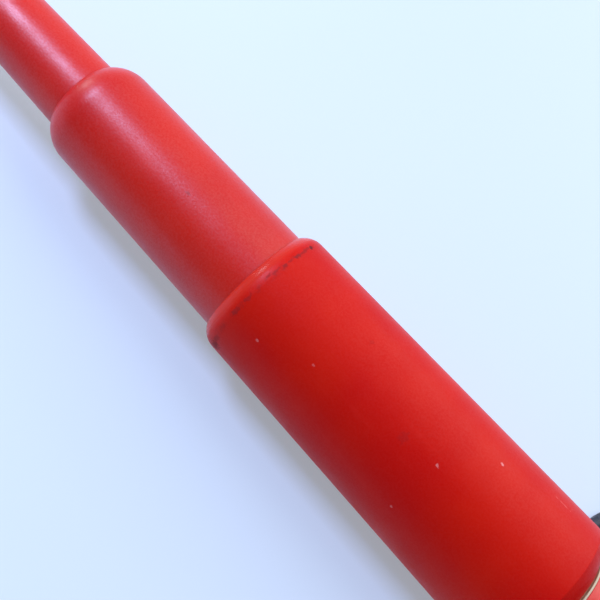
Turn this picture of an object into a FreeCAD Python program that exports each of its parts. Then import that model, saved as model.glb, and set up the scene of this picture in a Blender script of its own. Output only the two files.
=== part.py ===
import FreeCAD, Part
import math
import os

# Telescopic traffic baton light, lying on a flat surface with both lit tubes pulled out.
# Millimetres. X runs along the baton: the tip points to -X and the handle to +X. Z is up.
# Stations along the baton are measured from the mouth plane of the outer tube and grow
# towards the tail. place() moves a finished shape from stations to the part's own frame,
# whose origin is on the surface below the middle of the whole baton.

V = FreeCAD.Vector
CENTRE = V(0, 0, 0)
ALONG = V(1, 0, 0)

# ---------------------------------------------------------------- lit tubes
WALL = 1.8                 # wall of the outer tube
INNER_WALL = 1.7           # wall of the middle tube
TIP_WALL = 1.5             # wall of the tip tube

OUTER_R = 19.0             # outer radius of the outer tube's cone at its mouth plane
OUTER_TAPER = 0.021        # growth of the radius per millimetre towards the handle
OUTER_LENGTH = 103.8       # mouth plane to the widest ring at the base
OUTER_LIP = 6.0            # rounding of the mouth
OUTER_BORE = 16.3          # mouth that guides the middle tube
OUTER_GUIDE = 5.0          # length of that guide
BASE_SHOULDER = 4.8        # the shoulder behind the widest ring, along and across the axis
BASE_BULGE = 0.7           # how far that shoulder swells out of a straight cone

MID_R = 14.8
MID_TAPER = 0.0191
MID_EXPOSED = 67.9         # mouth plane of the middle tube to that of the outer tube
MID_OVERLAP = 15.0         # length still inside the outer tube when pulled out
MID_LIP = 10.0
MID_BORE = 11.1
MID_GUIDE = 6.0

TIP_R = 10.8
TIP_TAPER = 0.0252
TIP_EXPOSED = 70.0
TIP_OVERLAP = 14.9
TIP_CAP_RISE = 2.5         # the end plug stands this far out of the tip tube

SLIDE_GAP = 0.1            # rest gap between a stop ring and its shoulder
RING_LENGTH = 4.0

# ---------------------------------------------------------------- lamp head
LENS_FRONT = 83.4
LENS_THICK = 1.1
LENS_R = 18.2
GASKET_THICK = 0.6
CUP_BACK = 99.0
CUP_WALL = 1.0
BOARD_FRONT = 92.0
BOARD_THICK = 1.6
BOARD_R = 12.5
LED_R = 2.5
LED_LENGTH = 5.4
LED_CIRCLE = 7.5
LED_COUNT = 6              # around one in the middle
NECK_R = 14.1
NECK_BORE = 11.0
NUT_THICK = 4.0
NUT_R = 18.0

# ---------------------------------------------------------------- handle
SEAL_THICK = 1.2
COLLAR_R = 16.0
COLLAR_LENGTH = 7.2
SPIGOT_R = 13.4
SPIGOT_LENGTH = 4.0
BARREL_R = 16.3
BARREL_BORE = 13.5
BARREL_END = 246.0
BOSS_TOP = 17.2            # flat pad for the switch, above the axis
BOSS_FROM = 119.5
BOSS_TO = 134.5
BUTTON_R = 4.5
BUTTON_TOP = 19.4
BUTTON_TRAVEL = 1.5
CELL_R = 13.0
CELL_LENGTH = 48.5
NUB_LENGTH = 1.5
NUB_R = 3.2
CONTACT_FACE = 136.5
GRIP_FROM = 146.0
GRIP_TO = 230.0
GRIP_R = 17.9
RIB_R = 0.8
RIB_PITCH = 5.2

# ---------------------------------------------------------------- tail
AXIS_HEIGHT = 21.2         # half the width of the eight-sided tail guard across its flats
GUARD_FROM = 234.0
GUARD_LENGTH = 12.0
GUARD_EDGE = 1.6
CAP_LENGTH = 12.0
CAP_R = 15.8
SKIRT_FROM = 240.0
LUG_R = 14.6
LUG_TURN = 40.0            # degrees from locked to the slots where the cap pulls off
MAGNET_R = 9.0
MAGNET_THICK = 3.0

# ---------------------------------------------------------------- lanyard
CORD_D = 4.0
ANCHOR_AT = 240.0
ANCHOR_DROP = 4.0          # below the axis
ANCHOR_LENGTH = 9.8
LOCK_FROM = 198.0
LOCK_TO = 212.0
LOCK_Y = 59.2

# The lanyard's middle line, in stations, with Z above the surface: out of the guard, down,
# through the lock, along the handle, round the bend beside the lamp head and back to the lock.
LANYARD_ROUTE = [
    (240.0, 31.35, 17.15),
    (239.6, 41.4, 15.6),
    (234.6, 50.2, 10.0),
    (225.0, 55.4, 4.9),
    (211.0, 56.8, 2.7),
    (197.0, 56.4, 2.7),
    (180.5, 50.6, 2.05),
    (162.0, 40.4, 2.05),
    (147.4, 26.4, 2.05),
    (135.4, 19.0, 2.05),
    (125.2, 16.8, 2.05),
    (116.0, 21.7, 2.05),
    (111.8, 31.2, 2.05),
    (114.3, 41.3, 2.05),
    (123.5, 50.5, 2.05),
    (140.0, 59.4, 2.05),
    (160.0, 65.0, 2.05),
    (180.0, 64.6, 2.05),
    (198.0, 61.9, 2.7),
]

BASE_RING = OUTER_LENGTH
OUTER_BACK = BASE_RING + BASE_SHOULDER
COLLAR_FROM = OUTER_BACK + SEAL_THICK
BARREL_FROM = COLLAR_FROM + COLLAR_LENGTH
TAIL = BARREL_END + CAP_LENGTH
TIP_END = -MID_EXPOSED - TIP_EXPOSED
MIDDLE = (TAIL + TIP_END - TIP_CAP_RISE) / 2


# ---------------------------------------------------------------- helpers
def place(shape):
    """Move a shape from stations about the axis to the part's own frame."""
    moved = shape.copy()
    moved.translate(V(-MIDDLE, 0, AXIS_HEIGHT))
    return moved


def place_on_floor(shape):
    """The same for a shape whose Z is already measured from the surface."""
    moved = shape.copy()
    moved.translate(V(-MIDDLE, 0, 0))
    return moved


def export(name, shape):
    """Write one node."""
    if not shape.isValid():
        print("not valid:", name)
    shape.exportStep("parts/" + name + ".step")
    box = shape.BoundBox
    print(
        f"{name:16s} {shape.Volume:10.1f} mm3  x {box.XMin:7.1f} {box.XMax:7.1f}"
        f"  y {box.YMin:6.1f} {box.YMax:6.1f}  z {box.ZMin:6.1f} {box.ZMax:6.1f}"
    )


def turned(edges):
    """Solid of revolution about the axis from a closed chain of edges in station and radius."""
    face = Part.Face(Part.Wire(Part.__sortEdges__(edges)))
    return face.revolve(CENTRE, ALONG, 360)


def chain(points):
    """Straight edges through (station, radius) points."""
    places = [V(x, 0, r) for x, r in points]
    return [Part.LineSegment(a, b).toShape() for a, b in zip(places, places[1:])]


def turned_outline(points):
    """Solid of revolution of a polygon of (station, radius) points."""
    return turned(chain(points + points[:1]))


def arc(start, middle, end):
    """An arc edge through three (station, radius) points."""
    a, b, c = (V(x, 0, r) for x, r in (start, middle, end))
    return Part.Arc(a, b, c).toShape()


def ring(x_from, x_to, r_in, r_out):
    """A plain ring, or a disc if r_in is 0."""
    return turned_outline([(x_from, r_in), (x_to, r_in), (x_to, r_out), (x_from, r_out)])


def rod(centre, direction, radius, length):
    """A cylinder that starts at centre."""
    return Part.makeCylinder(radius, length, V(*centre), V(*direction))


def about_axis(shape, degrees):
    """A copy turned about the baton's axis."""
    copy = shape.copy()
    copy.rotate(CENTRE, ALONG, degrees)
    return copy


def fused(shapes):
    """Several shapes as one solid."""
    return shapes[0].multiFuse(shapes[1:]).removeSplitter()


# ---------------------------------------------------------------- lit tubes
def lipped_tube(mouth, base, radius, taper, lip, bore, guide, wall):
    """A conical tube with a rounded mouth, a guide bore behind it and a wider inside."""

    def cone(x):
        return radius + taper * (x - mouth)

    slope = math.atan(taper)
    centre_x = mouth + lip
    centre_r = cone(centre_x) - lip / math.cos(slope)
    edge_round = 0.5
    start = (centre_x - lip * math.sin(slope), centre_r + lip * math.cos(slope))
    end_r = bore + edge_round
    end = (centre_x - math.sqrt(lip**2 - (end_r - centre_r) ** 2), end_r)
    start_angle = math.atan2(start[1] - centre_r, start[0] - centre_x)
    end_angle = math.atan2(end[1] - centre_r, end[0] - centre_x)
    half = (start_angle + end_angle) / 2
    middle = (centre_x + lip * math.cos(half), centre_r + lip * math.sin(half))
    lip_end = (end[0] + edge_round * 0.8, bore)
    turn = (end[0] + edge_round * 0.22, bore + edge_round * 0.34)
    step = lip_end[0] + guide
    edges = [arc(start, middle, end), arc(end, turn, lip_end)]
    edges += chain(
        [
            lip_end,
            (step, bore),
            (step, cone(step) - wall),
            (base, cone(base) - wall),
            (base, cone(base)),
            start,
        ]
    )
    return turned(edges), step


def outer_tube():
    """The large tube: mouth, cone, and the shoulder at its base with its opening for the neck."""
    opening = NECK_R + 0.1
    inside_end = BASE_RING + 0.6
    tube, step = lipped_tube(
        0, BASE_RING, OUTER_R, OUTER_TAPER, OUTER_LIP, OUTER_BORE, OUTER_GUIDE, WALL
    )
    base_r = OUTER_R + OUTER_TAPER * BASE_RING
    back_r = base_r - BASE_SHOULDER
    half = BASE_SHOULDER / 2 + BASE_BULGE * math.sqrt(0.5)
    shoulder = arc(
        (BASE_RING, base_r),
        (BASE_RING + half, back_r + half),
        (OUTER_BACK, back_r),
    )
    base = turned(
        [shoulder]
        + chain(
            [
                (OUTER_BACK, back_r),
                (OUTER_BACK, opening),
                (inside_end, opening),
                (inside_end, base_r - WALL),
                (BASE_RING, base_r - WALL),
                (BASE_RING, base_r),
            ]
        )
    )
    return fused([tube, base]), step


def mid_tube():
    """The middle tube, with the groove for its stop ring."""
    base = MID_OVERLAP
    tube, step = lipped_tube(
        -MID_EXPOSED, base, MID_R, MID_TAPER, MID_LIP, MID_BORE, MID_GUIDE, INNER_WALL
    )
    return tube, step


def stop_ring(front, r_groove, r_out):
    """A nylon ring that is seated in a tube's groove and meets the shoulder in front of it."""
    back = front + RING_LENGTH
    edge = 0.35
    return turned_outline(
        [
            (front, r_groove),
            (back, r_groove),
            (back, r_out - edge),
            (back - edge, r_out),
            (front + edge, r_out),
            (front, r_out - edge),
        ]
    )


def groove(front, r_groove):
    """The space that a stop ring takes out of a tube."""
    return ring(front, front + RING_LENGTH, r_groove, r_groove + 6)


def tip_tube():
    """The narrow tube, open at both ends; a plug closes its tip."""
    base = -MID_EXPOSED + TIP_OVERLAP
    end_r = TIP_R - TIP_TAPER * TIP_EXPOSED
    base_r = TIP_R + TIP_TAPER * TIP_OVERLAP
    return turned_outline(
        [
            (TIP_END, end_r - TIP_WALL),
            (base, base_r - TIP_WALL),
            (base, base_r),
            (TIP_END, end_r),
        ]
    )


def tip_cap():
    """The plug in the tip: a stem inside the tube and a softly rounded button outside."""
    r = TIP_R - TIP_TAPER * TIP_EXPOSED
    stem = r - TIP_WALL - 0.1
    crown = TIP_END - TIP_CAP_RISE
    edges = [arc((TIP_END, r), (TIP_END - 1.9, r - 1.1), (crown, r - 4.2))]
    edges += chain(
        [(crown, r - 4.2), (crown, 0), (TIP_END + 7, 0), (TIP_END + 7, stem), (TIP_END, stem)]
    )
    edges += chain([(TIP_END, stem), (TIP_END, r)])
    return turned(edges)


def make_lit_tubes():
    """The three tubes with their stop rings and the tip plug."""
    outer, outer_step = outer_tube()
    mid, mid_step = mid_tube()
    tip = tip_tube()
    mid_ring_at = outer_step + SLIDE_GAP
    tip_ring_at = mid_step + SLIDE_GAP
    mid_groove_r = 15.6
    tip_groove_r = 10.5
    export("outer_tube", place(outer))
    export("mid_tube", place(mid.cut(groove(mid_ring_at, mid_groove_r))))
    export("mid_stop_ring", place(stop_ring(mid_ring_at, mid_groove_r, 17.0)))
    export("tip_tube", place(tip.cut(groove(tip_ring_at, tip_groove_r))))
    export("tip_stop_ring", place(stop_ring(tip_ring_at, tip_groove_r, 12.6)))
    export("tip_cap", place(tip_cap()))


# ---------------------------------------------------------------- lamp head
def make_lamp():
    """Lens, reflector, LEDs and what carries them, inside the base of the outer tube."""
    lens_back = LENS_FRONT + LENS_THICK
    rim = lens_back + GASKET_THICK
    cup_r = LENS_R - CUP_WALL
    wall_front = CUP_BACK - 2.0
    export("lens", place(ring(LENS_FRONT, lens_back, 0, LENS_R)))
    export("lens_gasket", place(ring(lens_back, rim, cup_r, LENS_R)))
    export(
        "lamp_cup",
        place(
            turned_outline(
                [
                    (rim, cup_r),
                    (wall_front, cup_r),
                    (wall_front, 9.0),
                    (CUP_BACK, 9.0),
                    (CUP_BACK, LENS_R),
                    (rim, LENS_R),
                ]
            )
        ),
    )
    export(
        "reflector",
        place(
            turned_outline(
                [
                    (BOARD_FRONT - 0.1, 10.8),
                    (BOARD_FRONT - 0.1, 11.9),
                    (rim + 1.4, 16.9),
                    (rim + 0.6, 16.9),
                    (rim + 0.6, 16.1),
                ]
            )
        ),
    )
    screw_r = 1.1
    screw_at = 10.9
    board = ring(BOARD_FRONT, BOARD_FRONT + BOARD_THICK, 0, BOARD_R)
    carrier = ring(BOARD_FRONT + BOARD_THICK, wall_front, 9.0, BOARD_R)
    screws = []
    for side in (-1, 1):
        place_yz = (BOARD_FRONT, side * screw_at * math.cos(0.52), side * screw_at * math.sin(0.52))
        hole = rod(place_yz, (1, 0, 0), screw_r, wall_front - BOARD_FRONT)
        board = board.cut(hole)
        carrier = carrier.cut(hole)
        screws.append(rod(place_yz, (1, 0, 0), screw_r - 0.02, wall_front - BOARD_FRONT - 0.5))
    export("led_board", place(board))
    export("led_carrier", place(carrier))
    export("board_screws", place(Part.makeCompound(screws)))
    leds = []
    spots = [(0.0, 0.0)]
    for index in range(LED_COUNT):
        angle = math.radians(360 / LED_COUNT * index)
        spots.append((LED_CIRCLE * math.cos(angle), LED_CIRCLE * math.sin(angle)))
    for y, z in spots:
        stem_length = LED_LENGTH - LED_R
        stem = rod((BOARD_FRONT, y, z), (-1, 0, 0), LED_R, stem_length)
        dome = Part.makeSphere(LED_R, V(BOARD_FRONT - stem_length, y, z))
        leds.append(fused([stem, dome]))
    export("leds", place(Part.makeCompound(leds)))
    nut_back = BASE_RING + 0.6
    nut = ring(nut_back - NUT_THICK, nut_back, NECK_R + 0.1, NUT_R)
    for index in range(6):
        notch = Part.makeBox(NUT_THICK + 2, 4, 3, V(nut_back - NUT_THICK - 1, -2, NUT_R - 1.6))
        nut = nut.cut(about_axis(notch, 60 * index))
    export("lamp_nut", place(nut))


# ---------------------------------------------------------------- handle
def head_seal():
    """The pale washer between the lamp head and the collar, set back on its front half."""
    half = SEAL_THICK / 2
    return turned_outline(
        [
            (OUTER_BACK, NECK_R + 0.1),
            (COLLAR_FROM, NECK_R + 0.1),
            (COLLAR_FROM, COLLAR_R + 0.1),
            (COLLAR_FROM - half, COLLAR_R + 0.1),
            (COLLAR_FROM - half, COLLAR_R - 1.0),
            (OUTER_BACK, COLLAR_R - 1.0),
        ]
    )


def lamp_collar():
    """The neck: its front goes into the lamp head and its spigot into the barrel."""
    edge = 0.5
    body = turned_outline(
        [
            (CUP_BACK, NECK_BORE),
            (BARREL_FROM + SPIGOT_LENGTH, NECK_BORE),
            (BARREL_FROM + SPIGOT_LENGTH, SPIGOT_R),
            (BARREL_FROM, SPIGOT_R),
            (BARREL_FROM, COLLAR_R - edge),
            (BARREL_FROM - edge, COLLAR_R),
            (COLLAR_FROM + edge, COLLAR_R),
            (COLLAR_FROM, COLLAR_R - edge),
            (COLLAR_FROM, NECK_R),
            (CUP_BACK, NECK_R),
        ]
    )
    for index in range(18):
        flute = rod((COLLAR_FROM + 2.2, 0, COLLAR_R + 1.4), (1, 0, 0), 2.0, 3.2)
        body = body.cut(about_axis(flute, 20 * index))
    return body


def collar_screw(angle):
    """A small countersunk screw that holds the collar's spigot in the barrel."""
    x = BARREL_FROM + 2.0
    shank = rod((x, 0, 11.4), (0, 0, 1), 1.2, 3.9)
    head = rod((x, 0, 15.1), (0, 0, 1), 2.1, 1.0)
    slot = Part.makeBox(5, 0.5, 0.6, V(x - 2.5, -0.25, 15.7))
    return about_axis(fused([shank, head]).cut(slot), angle)


def screw_space(angle):
    """The hole that a collar screw takes, open to the outside."""
    x = BARREL_FROM + 2.0
    shank = rod((x, 0, 11.3), (0, 0, 1), 1.2, 4.0)
    head = rod((x, 0, 15.1), (0, 0, 1), 2.15, 3.0)
    return about_axis(fused([shank, head]), angle)


def barrel():
    """The handle's tube, with the switch pad, the strip groove and the bayonet seat."""
    body = ring(BARREL_FROM, BARREL_END, 0, BARREL_R)
    half_width = 7.6
    boss = Part.makeBox(BOSS_TO - BOSS_FROM, 2 * half_width, BOSS_TOP, V(BOSS_FROM, -half_width, 0))
    upright = [e for e in boss.Edges if abs(e.tangentAt(e.FirstParameter).z) > 0.9]
    boss = boss.makeFillet(2.5, upright)
    top = [e for e in boss.Edges if abs(e.BoundBox.ZMin - BOSS_TOP) < 1e-6]
    boss = boss.makeFillet(0.6, top)
    body = body.fuse(boss)
    body = body.cut(ring(BARREL_FROM - 1, BARREL_END + 1, 0, BARREL_BORE))
    middle = (BOSS_FROM + BOSS_TO) / 2
    body = body.cut(rod((middle, 0, 5), (0, 0, 1), BUTTON_R + 0.1, 20))
    strip_groove = Part.makeBox(BARREL_END - 120, 4.6, 2.0, V(124, -2.3, -14.4))
    body = body.cut(strip_groove)
    body = body.cut(ring(SKIRT_FROM + 0.5, SKIRT_FROM + 3.5, 0, LUG_R + 0.2))
    for side in (0, 180):
        slot = Part.makeBox(8, 5.2, 4, V(SKIRT_FROM + 2, -2.6, 11.0))
        body = body.cut(about_axis(slot, side + LUG_TURN + 90))
    for angle in (180, 60, 300):
        body = body.cut(screw_space(angle))
    return body.removeSplitter()


def grip():
    """The ribbed rubber sleeve on the barrel."""
    inside = BARREL_R + 0.05
    edge = 0.7
    sleeve = turned_outline(
        [
            (GRIP_FROM, inside),
            (GRIP_TO, inside),
            (GRIP_TO, GRIP_R - edge),
            (GRIP_TO - edge, GRIP_R),
            (GRIP_FROM + edge, GRIP_R),
            (GRIP_FROM, GRIP_R - edge),
        ]
    )
    ribs = []
    count = int((GRIP_TO - GRIP_FROM - 8) / RIB_PITCH)
    first = (GRIP_FROM + GRIP_TO - (count - 1) * RIB_PITCH) / 2
    for index in range(count):
        ribs.append(Part.makeTorus(GRIP_R, RIB_R, V(first + index * RIB_PITCH, 0, 0), ALONG))
    return fused([sleeve] + ribs)


def make_handle():
    """Seal, collar, barrel, screws and grip."""
    collar = lamp_collar()
    screws = []
    for angle in (180, 60, 300):
        collar = collar.cut(screw_space(angle))
        screws.append(collar_screw(angle))
    export("head_seal", place(head_seal()))
    export("lamp_collar", place(collar))
    export("handle_barrel", place(barrel()))
    export("collar_screws", place(Part.makeCompound(screws)))
    export("grip_sleeve", place(grip()))


# ---------------------------------------------------------------- switch and power
def coil(x_from, radius, wire, length, turns):
    """A round-wire coil spring along the axis."""
    pitch = (length - 2 * wire) / turns
    helix = Part.makeHelix(pitch, pitch * turns, radius)
    start = V(radius, 0, 0)
    circle = Part.Wire(Part.makeCircle(wire, start, V(0, 1, 0)))
    spring = Part.Wire(helix.Edges).makePipeShell([circle], True, True)
    spring.rotate(CENTRE, V(0, 1, 0), 90)
    spring.translate(V(x_from + wire, 0, 0))
    return spring


def make_switch():
    """Bezel, push button, the rubber dome that lifts it and the switch below."""
    middle = (BOSS_FROM + BOSS_TO) / 2
    body_top = 7.4
    flange_foot = 11.2
    flange_top = 12.0
    bezel = Part.makeCylinder(6.6, 1.0, V(middle, 0, BOSS_TOP))
    bezel = bezel.makeFillet(0.5, [e for e in bezel.Edges if e.BoundBox.ZMin > BOSS_TOP + 0.9])
    bezel = bezel.cut(rod((middle, 0, BOSS_TOP - 1), (0, 0, 1), BUTTON_R + 0.25, 3))
    button = Part.makeCylinder(BUTTON_R, BUTTON_TOP - flange_foot, V(middle, 0, flange_foot))
    top = [e for e in button.Edges if abs(e.BoundBox.ZMin - BUTTON_TOP) < 1e-6]
    button = button.makeFillet(1.1, top)
    button = button.fuse(Part.makeCylinder(5.3, flange_top - flange_foot, V(middle, 0, flange_foot)))
    switch = Part.makeBox(9.6, 9.6, 5.4, V(middle - 4.8, -4.8, body_top - 5.4))
    switch = switch.makeFillet(0.4, switch.Edges)
    board = Part.makeBox(12.4, 18, 1.4, V(middle - 7.5, -9, body_top - 6.8))
    foot = body_top + 0.05
    dome_top = flange_foot - 0.05
    outline = [
        (2.6, foot),
        (3.9, foot),
        (3.9, foot + 0.6),
        (2.2, foot + 2.4),
        (2.2, dome_top),
        (0.0, dome_top),
        (0.0, dome_top - 0.9),
        (1.5, dome_top - 0.9),
        (1.5, foot + 2.1),
        (2.6, foot + 0.9),
        (2.6, foot),
    ]
    corners = [V(middle + r, 0, z) for r, z in outline]
    dome = Part.Face(Part.makePolygon(corners)).revolve(V(middle, 0, 0), V(0, 0, 1), 360)
    export("switch_bezel", place(bezel))
    export("power_button", place(button))
    export("return_dome", place(dome))
    export("tact_switch", place(switch))
    export("switch_board", place(board))


def cell(front):
    """One dry cell, its positive end towards the lamp."""
    can = Part.makeCylinder(CELL_R, CELL_LENGTH, V(front + NUB_LENGTH, 0, 0), ALONG)
    can = can.makeFillet(1.2, [e for e in can.Edges if e.Closed])
    nub = rod((front, 0, 0), (1, 0, 0), NUB_R, NUB_LENGTH + 0.5)
    return fused([can, nub])


def make_power():
    """Cells, contacts and wires."""
    carrier = ring(CONTACT_FACE - 3.5, CONTACT_FACE - 0.5, 0, BARREL_BORE - 0.1)
    carrier = carrier.cut(rod((CONTACT_FACE - 5, 0, 0), (1, 0, 0), 1.5, 6))
    strip_notch = Part.makeBox(8, 5, 3, V(CONTACT_FACE - 6, -2.5, -15))
    export("contact_carrier", place(carrier.cut(strip_notch)))
    plate = ring(CONTACT_FACE - 0.5, CONTACT_FACE, 0, 8.5)
    stud = rod((CONTACT_FACE - 4.5, 0, 0), (1, 0, 0), 1.4, 4.2)
    export("front_contact", place(fused([plate, stud])))
    export("cell_front", place(cell(CONTACT_FACE)))
    export("cell_rear", place(cell(CONTACT_FACE + NUB_LENGTH + CELL_LENGTH)))
    export("contact_strip", place(Part.makeBox(BARREL_END - 127, 4, 0.5, V(126, -2, -14.2))))
    wire_from = BOARD_FRONT + BOARD_THICK
    wire_to = (BOSS_FROM + BOSS_TO) / 2 - 7.5
    for name, y in (("wire_positive", 3.0), ("wire_negative", -3.0)):
        wire = rod((wire_from, y, 1.3), (1, 0, 0), 0.7, wire_to - wire_from)
        export(name, place(wire))


# ---------------------------------------------------------------- tail
def octagon(x, across):
    """A closed eight-sided wire about the axis with a flat side down."""
    corner = across / 2 / math.cos(math.pi / 8)
    points = []
    for index in range(9):
        angle = math.pi / 8 + index * math.pi / 4
        points.append(V(x, corner * math.cos(angle), corner * math.sin(angle)))
    return Part.makePolygon(points)


def tail_guard():
    """The eight-sided rubber guard that keeps the baton from rolling."""
    wide = 2 * AXIS_HEIGHT
    body = Part.Face(octagon(GUARD_FROM, wide)).extrude(V(GUARD_LENGTH, 0, 0))
    long_edges = [e for e in body.Edges if abs(e.Length - GUARD_LENGTH) < 1e-6]
    body = body.makeFillet(3.0, long_edges)
    ends = [e for e in body.Edges if abs(e.BoundBox.XLength) < 1e-6]
    body = body.makeChamfer(GUARD_EDGE, ends)
    return body.cut(ring(GUARD_FROM - 1, GUARD_FROM + GUARD_LENGTH + 1, 0, BARREL_R + 0.05))


def battery_cap():
    """The bayonet cap: ribbed rim, skirt with two lugs, and a seat for the magnet."""
    edge = 1.2
    cap = turned_outline(
        [
            (SKIRT_FROM, 11.0),
            (SKIRT_FROM, BARREL_BORE - 0.1),
            (BARREL_END, BARREL_BORE - 0.1),
            (BARREL_END, CAP_R),
            (TAIL - edge, CAP_R),
            (TAIL, CAP_R - edge),
            (TAIL, MAGNET_R + 0.05),
            (TAIL - MAGNET_THICK, MAGNET_R + 0.05),
            (TAIL - MAGNET_THICK, 0),
            (BARREL_END + 1, 0),
            (BARREL_END + 1, 11.0),
        ]
    )
    for index in range(24):
        flute = rod((BARREL_END + 2.5, 0, CAP_R + 0.9), (1, 0, 0), 1.5, CAP_LENGTH)
        cap = cap.cut(about_axis(flute, 15 * index))
    seal_from = BARREL_END - 1.9
    cap = cap.cut(ring(seal_from, seal_from + 1.2, 12.5, 20))
    for side in (0, 180):
        lug = Part.makeBox(2.4, 4, LUG_R - 12.0, V(SKIRT_FROM + 0.7, -2, 12.0))
        cap = cap.fuse(about_axis(lug, side + 90))
    return cap.removeSplitter(), ring(seal_from, seal_from + 1.2, 12.5, BARREL_BORE - 0.05)


def make_tail():
    """Guard, cap, seal, spring, magnet and the anchor of the lanyard."""
    cap, seal = battery_cap()
    export("tail_guard", place(tail_guard()))
    export("battery_cap", place(cap))
    export("cap_seal", place(seal))
    cell_end = CONTACT_FACE + 2 * (NUB_LENGTH + CELL_LENGTH)
    export("tail_spring", place(coil(cell_end + 0.1, 6.5, 0.6, BARREL_END + 0.9 - cell_end, 4)))
    magnet = ring(TAIL - MAGNET_THICK, TAIL, 0, MAGNET_R)
    export("tail_magnet", place(magnet))
    anchor = Part.makeCone(3.4, 2.5, ANCHOR_LENGTH, V(ANCHOR_AT, AXIS_HEIGHT, -ANCHOR_DROP), V(0, 1, 0))
    export("lanyard_anchor", place(anchor))


# ---------------------------------------------------------------- lanyard
def rounded_path(points):
    """Straight runs joined by tangent arcs; returns the wire and the arcs' radii."""
    places = [V(*p) for p in points]
    edges = []
    radii = []
    start = places[0]
    for before, corner, after in zip(places, places[1:], places[2:]):
        back = before - corner
        ahead = after - corner
        reach = 0.45 * min(back.Length, ahead.Length)
        back.normalize()
        ahead.normalize()
        half_turn = (math.pi - back.getAngle(ahead)) / 2
        radius = reach / math.tan(half_turn)
        enter = corner + back * reach
        leave = corner + ahead * reach
        bisector = (back + ahead).normalize()
        middle = corner + bisector * (radius / math.cos(half_turn) - radius)
        edges.append(Part.LineSegment(start, enter).toShape())
        edges.append(Part.Arc(enter, middle, leave).toShape())
        radii.append(radius)
        start = leave
    edges.append(Part.LineSegment(start, places[-1]).toShape())
    return Part.Wire(edges), radii


def make_lanyard():
    """The free cord from the guard and the small lock that closes its loop."""
    path, radii = rounded_path(LANYARD_ROUTE)
    first = V(*LANYARD_ROUTE[0])
    heading = V(*LANYARD_ROUTE[1]) - first
    circle = Part.Wire(Part.makeCircle(CORD_D / 2, first, heading))
    cord = path.makePipeShell([circle], True, False)
    whole = math.pi * (CORD_D / 2) ** 2 * path.Length
    print("lanyard length", round(path.Length, 1), "volume ratio", round(cord.Volume / whole, 4))
    print("lanyard radii", [round(r, 1) for r in radii])
    export("lanyard", place_on_floor(cord))
    width = 12.4
    height = 5.3
    lock = Part.makeBox(LOCK_TO - LOCK_FROM, width, height, V(LOCK_FROM, LOCK_Y - width / 2, 0.05))
    long_edges = [e for e in lock.Edges if abs(e.Length - (LOCK_TO - LOCK_FROM)) < 1e-6]
    lock = lock.makeFillet(2.2, long_edges)
    export("lanyard_lock", place_on_floor(lock))


os.makedirs("parts", exist_ok=True)
make_lit_tubes()
make_lamp()
make_handle()
make_switch()
make_power()
make_tail()
make_lanyard()
print("length", round(TAIL - TIP_END + TIP_CAP_RISE, 2), "middle station", round(MIDDLE, 3))
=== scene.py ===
import math

import bmesh
import bpy
from mathutils import Matrix, Quaternion, Vector


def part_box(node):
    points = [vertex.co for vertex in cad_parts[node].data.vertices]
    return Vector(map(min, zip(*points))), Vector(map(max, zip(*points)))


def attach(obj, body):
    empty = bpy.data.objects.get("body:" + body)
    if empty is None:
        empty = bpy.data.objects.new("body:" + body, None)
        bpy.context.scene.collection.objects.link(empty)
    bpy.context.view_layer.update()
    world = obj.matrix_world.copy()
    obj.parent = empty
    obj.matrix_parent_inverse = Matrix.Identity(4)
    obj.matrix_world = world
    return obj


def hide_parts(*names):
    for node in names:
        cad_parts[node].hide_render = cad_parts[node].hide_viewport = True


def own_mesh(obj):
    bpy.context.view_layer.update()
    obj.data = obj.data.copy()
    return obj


# Telescopic traffic baton light. Shapes are given as in the CAD part: stations along the
# baton in millimetres from the outer tube's mouth plane towards the tail, and radii in
# millimetres about the baton's axis. What is built from them is in metres in the row frame.

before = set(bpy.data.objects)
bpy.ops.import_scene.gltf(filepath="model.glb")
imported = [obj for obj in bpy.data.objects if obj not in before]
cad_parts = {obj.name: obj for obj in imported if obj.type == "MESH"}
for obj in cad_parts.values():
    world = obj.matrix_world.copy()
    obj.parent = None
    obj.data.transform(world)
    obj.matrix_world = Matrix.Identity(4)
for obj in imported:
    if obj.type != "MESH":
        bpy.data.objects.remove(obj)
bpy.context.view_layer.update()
scene = bpy.context.scene

MM = 0.001
UP = (0, 0, 1)
STEPS = 192                       # sides of a turned piece
STEPS_SMALL = 128                 # of a thin one
STEPS_SWITCH = 96                 # of one in the switch

# ------------------------------------------------------------------ frame
OUTER_BACK = 108.6                # station of the back of the outer tube
ORIGIN_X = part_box("outer_tube")[1].x - OUTER_BACK * MM
AXIS_Z = (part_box("tail_guard")[0].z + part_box("tail_guard")[1].z) / 2

# Stations that several pieces share.
MID_MOUTH = -67.9
TIP_END = -137.9                  # end of the tip tube, under the plug's crown
TUBE_SEAT = 14.2                  # radius of the hole in the outer tube's back
BARREL_FROM = 117.0
BARREL_TO = 246.0
BARREL_R = 16.3
SWITCH_AT = 127.0
PAD_TOP = 17.2                    # height of the switch's pad above the axis
SLEEVE_BORE = 16.36               # of the grip and the guard, over the barrel
CAP_FROM = 240.0                  # front of the cap's skirt, inside the barrel
TAIL = 258.0
CELLS_FROM = 136.5
CELL_LENGTH = 50.0

# ------------------------------------------------------------------ camera and light
CAMERA_AT = (-0.02459, -0.09808, 0.23154)
CAMERA_TARGET = (-0.04671, 0.00609, 0.02120)
CAMERA_ROLL = 36.3                # degrees, turns the baton across the picture
CAMERA_LENS = 54.4                # millimetres on a 36 mm sensor
SENSOR = 36

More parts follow.
